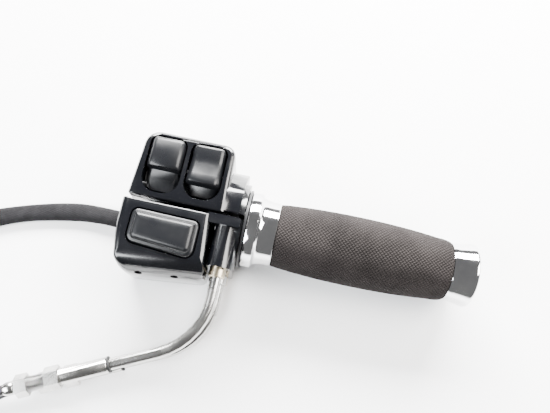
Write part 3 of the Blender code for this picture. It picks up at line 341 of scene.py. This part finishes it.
def new_piece(name, bm, material, smooth_angle=38.0):
    """Object of a finished bmesh, its faces pointing out."""
    mesh = bpy.data.meshes.new(name)
    bm.to_mesh(mesh)
    bm.free()
    mesh.shade_smooth()
    mesh.set_sharp_from_angle(angle=math.radians(smooth_angle))
    mesh.materials.append(material)
    piece = bpy.data.objects.new(name, mesh)
    bpy.context.scene.collection.objects.link(piece)
    return piece


def stand_for(piece, body, slot, *replaced):
    """The piece rides on a body in place of its CAD nodes."""
    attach(piece, body)
    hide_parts(*replaced)
    return piece


def body_of_node(node):
    return nodes[node]["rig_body"]


def slot_of_node(node):
    for part in frame["record"]["subparts"]:
        if part["node"] == node:
            return part["material_slot"]


def refined(node, material, edge=0.3, angle=42.0, segments=2):
    """Copy of a CAD node whose hard edges are broken by a small round."""
    bm = bmesh.new()
    bm.from_mesh(nodes[node].data)
    bmesh.ops.remove_doubles(bm, verts=bm.verts, dist=0.000002)
    bmesh.ops.dissolve_limit(bm, angle_limit=math.radians(1.2), verts=bm.verts, edges=bm.edges)
    piece = new_piece(f"{node}_finished", bm, material)
    if edge:
        round_over = piece.modifiers.new("broken_edges", "BEVEL")
        round_over.width = edge * MM
        round_over.segments = segments
        round_over.limit_method = "ANGLE"
        round_over.angle_limit = math.radians(angle)
        round_over.harden_normals = True
    return stand_for(piece, body_of_node(node), slot_of_node(node), node)


SPRING_TRAVEL = {
    "start_return_spring": ("start_button_press", 2.4),
    "turn_return_spring": ("turn_button_press", 2.2),
}


def press_down(spring):
    """Gives the spring its own copy of its mesh."""
    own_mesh(spring)


def turned_piece(name, profile, material, steps=96, smooth_angle=38.0):
    """Piece spun about the handlebar from a closed run of (along, radius) in millimetres."""
    bm = bmesh.new()
    verts = [bm.verts.new(at(along, 0, radius)) for along, radius in profile]
    edges = [bm.edges.new(pair) for pair in zip(verts, verts[1:])]
    if profile[0][1] > 0 or profile[-1][1] > 0:
        edges.append(bm.edges.new((verts[-1], verts[0])))
    bmesh.ops.spin(
        bm, geom=verts + edges, cent=BAR, axis=ROW_X, angle=math.tau, steps=steps, use_merge=True,
    )
    bmesh.ops.remove_doubles(bm, verts=bm.verts, dist=0.000001)
    bmesh.ops.recalc_face_normals(bm, faces=bm.faces)
    return new_piece(name, bm, material, smooth_angle)


def smooth_route(points, spacing):
    """Evenly spaced places along a smooth curve through chosen ones, in metres."""
    places = [at(*point) for point in points]
    places = [2 * places[0] - places[1], *places, 2 * places[-1] - places[-2]]
    fine = []
    for a, b, c, d in zip(places, places[1:], places[2:], places[3:]):
        for k in range(24):
            t = k / 24
            bend = (2 * a - 5 * b + 4 * c - d) * t + (3 * b - a - 3 * c + d) * t * t
            fine.append(b + 0.5 * t * (c - a + bend))
    fine.append(places[-2])
    return spaced(fine, spacing)


def spaced(fine, spacing):
    """The same line with its points a spacing apart."""
    length = run_length(fine)
    count = max(2, round(length / spacing))
    route, run, wanted = [fine[0]], 0.0, length / count
    for p, q in zip(fine, fine[1:]):
        step = (q - p).length
        while run + step >= wanted - 1e-9 and len(route) < count:
            route.append(p.lerp(q, (wanted - run) / step))
            wanted += length / count
        run += step
    return [*route, fine[-1]]


def run_length(points):
    return sum((q - p).length for p, q in zip(points, points[1:]))


def eased(share):
    share = min(max(share, 0.0), 1.0)
    return share * share * (3 - 2 * share)


# ---------------------------------------------------------------- cords

CASING = 5.0
TABLE_GAP = 0.05
LIE = FRONT_FACE + CASING / 2 + TABLE_GAP
COIL_EDGE = 37.5
COIL_RADII = (35.0, 30.0, 25.0)
TURN_STEPS = 28
STEP_ACROSS = math.radians(60.0)


def coil_points(middle, entry, radii, first, last, way, height):
    """Turns of a flat coil: each steps in to the next radius over the same stretch of the ring."""
    points = []
    count = max(2, round(abs(last - first) / math.tau * TURN_STEPS))
    for k in range(count + 1):
        turned = abs(last - first) * k / count
        lap = int(turned // math.tau)
        into = turned - lap * math.tau
        ring = [entry, *radii]
        lap = min(lap, len(radii) - 1)
        radius = ring[lap] + (ring[lap + 1] - ring[lap]) * eased(into / STEP_ACROSS)
        angle = first + way * turned
        points.append((middle[0] + radius * math.cos(angle), middle[1] + radius * math.sin(angle), height))
    return points


def round_cord(name, route, diameter, material):
    """Curve object along a route, as thick as the cord."""
    curve = bpy.data.curves.new(name, "CURVE")
    curve.dimensions = "3D"
    curve.bevel_depth = diameter / 2 * MM
    curve.bevel_resolution = 6
    curve.use_fill_caps = True
    curve.materials.append(material)
    line = curve.splines.new("POLY")
    line.points.add(len(route) - 1)
    for point, place in zip(line.points, route):
        point.co = (*place, 1.0)
    line.use_smooth = True
    cord = bpy.data.objects.new(name, curve)
    bpy.context.scene.collection.objects.link(cord)
    return cord


CASING_FROM = Vector((-97.488, -106.84, 0.0))
CASING_STRAIGHT = 9.5
CASING_ROUTES = {
    "throttle": [(-17.5, -10.3, -17.4), (-26.5, -16.9, -18.7), (-34.5, -22.8, LIE)],
    "idle": [
        (-19.5, -8.8, 14.4), (-32.5, -11.8, 11.3), (-44.5, -13.2, 7.5), (-55.5, -14.1, 3.4),
        (-67.5, -15.1, -1.4), (-80.5, -16.6, -6.6), (-92.5, -18.5, -11.2), (-103.5, -20.2, -15.2),
        (-113.0, -23.5, -17.9),
    ],
}
COIL_MIDDLES = {"throttle": (-62.5, 6.8), "idle": (-142.5, 6.8)}
COIL_ENTRY = math.radians(-60.0)
COIL_TURNED = math.radians(965.0)
CLIMB_TURNED = math.radians(105.0)
CLIMB = ((0.35, 25.0), (0.68, 24.8))
RISE_AHEAD = 1.05
TIP_FOOT = (16.1, -19.2)
TIP_HEADING = math.radians(200.0)
TIP_RADIUS = 2.9
TIP_LEAD = 4.0
ROUTE_SPACING = 0.004
CABLE_HEIGHT = {"throttle": -16.05, "idle": 16.05}


def add_casing(cable, material):
    """Cable casing: free run, three turns of coil, then up on to the coil to its end ferrule."""
    x, y = CASING_FROM.xy + Vector(COIL_MIDDLES[cable])
    start = CASING_FROM + Vector((0.0, 0.0, CABLE_HEIGHT[cable]))
    places = [start, start + ELBOW_HEADING * CASING_STRAIGHT]
    places += [CASING_FROM + Vector(place) for place in CASING_ROUTES[cable]]
    entry = COIL_EDGE + GAP + CASING / 2
    last = COIL_ENTRY - COIL_TURNED
    turns = coil_points((x, y), entry, COIL_RADII, COIL_ENTRY, last, -1, LIE)
    foot = Vector((x + TIP_FOOT[0], y + TIP_FOOT[1], FRONT_FACE + CASING + GAP + TIP_RADIUS))
    heading = Vector((math.cos(TIP_HEADING), math.sin(TIP_HEADING), 0.0))
    climb = []
    for share, radius in CLIMB:
        angle = last - CLIMB_TURNED * share
        height = LIE + (foot.z - LIE) * eased(share * RISE_AHEAD)
        climb.append((x + radius * math.cos(angle), y + radius * math.sin(angle), height))
    end = foot - heading * GAP
    lead = end - heading * TIP_LEAD
    route = smooth_route([*places, *turns, *climb, tuple(lead), tuple(end)], ROUTE_SPACING)
    cord = round_cord(f"{cable}_casing_run", route, CASING, material)
    stand_for(cord, "control", "casing", f"{cable}_casing", f"{cable}_casing_coil")


SLEEVE_WIDTH = 10.4
SLEEVE_THICKNESS = 5.2
SLEEVE_TABLE_GAP = 0.1
SLEEVE_LIE = FRONT_FACE + SLEEVE_THICKNESS / 2 + SLEEVE_TABLE_GAP
SLEEVE_SIDES = 20
SLEEVE_FOLD = 0.10
SLEEVE_PINCH = 0.04
SLEEVE_COIL = (-222.0, 0.0)
SLEEVE_ENTRY = 66.3
SLEEVE_RADII = (57.0, 47.0)
SLEEVE_FIRST = math.radians(-36.0)
SLEEVE_TURNED = math.radians(640.0)
SLEEVE_INWARD = ((46.0, math.radians(32.0)), (41.5, math.radians(6.0)))
SLEEVE_ROUTE = [
    (-65.5, -7.4, -17.3), (-75.0, -6.4, -17.9), (-87.0, -6.2, -18.9), (-100.0, -7.2, SLEEVE_LIE),
    (-120.0, -11.6, SLEEVE_LIE), (-137.5, -17.4, SLEEVE_LIE), (-151.5, -24.2, SLEEVE_LIE),
    (-162.1, -32.4, SLEEVE_LIE),
]
SLEEVE_TAIL = [(36.0, -8.0), (32.0, -16.5), (24.5, -21.3), (14.5, -22.0)]


def flat_tube(name, route, material):
    """Flattened sleeve along a route, with its own length and girth as its UV map."""
    bm = bmesh.new()
    layer = bm.loops.layers.uv.new("UVMap")
    rings = []
    for i, place in enumerate(route):
        ahead = (route[min(i + 1, len(route) - 1)] - route[max(i - 1, 0)]).normalized()
        side = ahead.cross(Vector((0, 0, 1))).normalized()
        top = side.cross(ahead)
        fold = SLEEVE_FOLD * math.sin(i * 0.9) * math.sin(i * 0.37)
        ring = []
        for k in range(SLEEVE_SIDES):
            angle = math.tau * k / SLEEVE_SIDES
            out = SLEEVE_WIDTH / 2 * math.cos(angle) * (1 - SLEEVE_PINCH * math.sin(i * 0.5))
            high = SLEEVE_THICKNESS / 2 * math.sin(angle) * (1 + fold * math.cos(angle))
            ring.append(bm.verts.new(place + (side * out + top * high) * MM))
        rings.append(ring)
    along = 0.0
    for i, (first, second) in enumerate(zip(rings, rings[1:])):
        step = (route[i + 1] - route[i]).length
        for k in range(SLEEVE_SIDES):
            j = (k + 1) % SLEEVE_SIDES
            face = bm.faces.new((first[k], first[j], second[j], second[k]))
            spots = ((along, k), (along, k + 1), (along + step, k + 1), (along + step, k))
            for loop, (u, v) in zip(face.loops, spots):
                loop[layer].uv = (u, v / SLEEVE_SIDES)
        along += step
    for ring in (rings[0], rings[-1]):
        bm.faces.new(ring)
    bmesh.ops.recalc_face_normals(bm, faces=bm.faces)
    return new_piece(name, bm, material, 60.0)


def add_wiring_sleeve(material):
    """Wiring sleeve: out of the housing, along the table, two turns, and in to its connector."""
    x, y = SLEEVE_COIL
    last = SLEEVE_FIRST - SLEEVE_TURNED
    turns = coil_points((x, y), SLEEVE_ENTRY, SLEEVE_RADII, SLEEVE_FIRST, last, -1, SLEEVE_LIE)
    inner = [(x + r * math.cos(a), y + r * math.sin(a), SLEEVE_LIE) for r, a in SLEEVE_INWARD]
    tail = [(x + dx, y + dy, SLEEVE_LIE) for dx, dy in SLEEVE_TAIL]
    route = smooth_route([*SLEEVE_ROUTE, *turns, *inner, *tail], ROUTE_SPACING)
    sleeve = flat_tube("wiring_sleeve_run", route, material)
    stand_for(sleeve, "control", "casing", "harness_sleeve", "harness_coil", "harness_tail")


# ---------------------------------------------------------------- the twist grip

BORE = 14.75
GRIP_SHOULDER = 8.0
GRIP_END = 17.5
GRIP_SWELL = 2.15
COLLAR = (1.1, 17.4)
COLLAR_RING = 20.9
COLLAR_NECK = 17.8
CAP = (114.8, 128.6)
CAP_NECK = 16.3
CAP_FLOOR = 125.0
CAP_DOME = 2.6
DOME_RADIUS = 16.5
GRIP_STEPS = 128


def add_grip(finishes):
    """Foam grip, collar and end cap, all turned about the bar."""
    low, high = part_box("foam_grip")
    start, end = (low.x - BAR.x) / MM, (high.x - BAR.x) / MM
    shoulder = end - GRIP_SHOULDER
    middle, half = (start + shoulder) / 2, (shoulder - start) / 2
    sides = []
    for k in range(25):
        along = start + (shoulder - start) * k / 24
        sides.append((along, GRIP_END + GRIP_SWELL * (1 - abs((along - middle) / half) ** 2.2)))
    close = [
        (shoulder + GRIP_SHOULDER * math.sin(a), GRIP_END - 1.6 * (1 - math.cos(a)))
        for a in (0.3, 0.6, 0.9, 1.2, 1.57)
    ]
    rim = [(start, BORE), (start, GRIP_END - 0.5), (start + 0.4, 17.4)]
    profile = [*rim, *sides[1:], *close, (end, BORE)]
    grip = turned_piece("foam_grip_knurled", profile, finishes["foam"], GRIP_STEPS)
    stand_for(grip, "twist_grip", "foam", "foam_grip")

    start, end = COLLAR
    ring = COLLAR_RING
    curve = [
        (7.8 + 8.0 * (1 - math.cos(a)), COLLAR_NECK + 1.6 * (1 - math.sin(a)))
        for a in (0.0, 0.2, 0.4, 0.6, 0.8, 1.0, 1.2, 1.4, 1.57)
    ]
    collar = turned_piece("grip_collar_plated", [
        (start, BORE), (start, ring - 0.8), (start + 0.25, ring - 0.25), (start + 0.8, ring), (6.4, ring),
        (6.8, ring - 0.1), (7.1, ring - 0.5), (7.3, 20.0), *curve,
        (end - 0.25, COLLAR_NECK), (end, COLLAR_NECK - 0.25), (end, BORE),
    ], finishes["chrome"], GRIP_STEPS)
    stand_for(collar, "twist_grip", "chrome", "grip_collar")

    start, end = CAP
    rim_at = end - 2.0
    flare = [
        (start + (rim_at - start) * t, CAP_NECK + 1.6 * t ** 1.8)
        for t in (0.06, 0.25, 0.4, 0.55, 0.7, 0.85, 1.0)
    ]
    dome = [
        (end + CAP_DOME * (1 - (r / DOME_RADIUS) ** 2), r)
        for r in (DOME_RADIUS, 15.5, 14.0, 12.0, 9.5, 7.0, 4.0, 2.0, 0.0)
    ]
    cap = turned_piece("end_cap_plated", [
        (CAP_FLOOR, 0.0), (CAP_FLOOR, BORE), (start, BORE), (start, CAP_NECK - 0.3), *flare,
        (end - 1.2, 17.85), (end - 0.6, 17.6), (end - 0.2, 17.1), *dome,
    ], finishes["chrome"], GRIP_STEPS)
    stand_for(cap, "twist_grip", "chrome", "end_cap")


# ---------------------------------------------------------------- putting it together

def make_finishes():
    return {
        "black_enamel": black_enamel(),
        "switch_plastic": switch_plastic(),
        "chrome": chrome(),
        "steel": steel(),
        "cut_thread": cut_thread(),
        "brass": steel("brass", (0.66, 0.57, 0.42), (0.2, 0.4)),
        "foam": foam(),
        "nylon": dull_black("nylon", (0.012, 0.012, 0.013), 0.4, 900.0, 0.00005),
        "rubber": dull_black("rubber", (0.010, 0.010, 0.010), 0.6, 1400.0, 0.00008),
        "casing": dull_black("casing", (0.014, 0.014, 0.015), 0.45, 1100.0, 0.00006),
    }


ROUNDED_EDGES = {
    "upper_housing": 0.5, "lower_housing": 0.5, "start_rocker": 0.5, "stop_rocker": 0.5, "turn_button": 0.4,
}

add_camera()
finishes = make_finishes()
for cable in CABLE_HEIGHT:
    add_casing(cable, finishes["casing"])
add_wiring_sleeve(wrapped_sleeve())
add_studio()
add_grip(finishes)
for node, edge in ROUNDED_EDGES.items():
    refined(node, finishes[slot_of_node(node)], edge)
for node, part in nodes.items():
    if not part.hide_render:
        finish = "nylon" if node.endswith("pivot_pin") else slot_of_node(node)
        finish = "cut_thread" if node.endswith("adjuster_thread") else finish
        piece = refined(node, finishes[finish], 0.12, 50.0, 1)
        if node in SPRING_TRAVEL:
            press_down(piece)
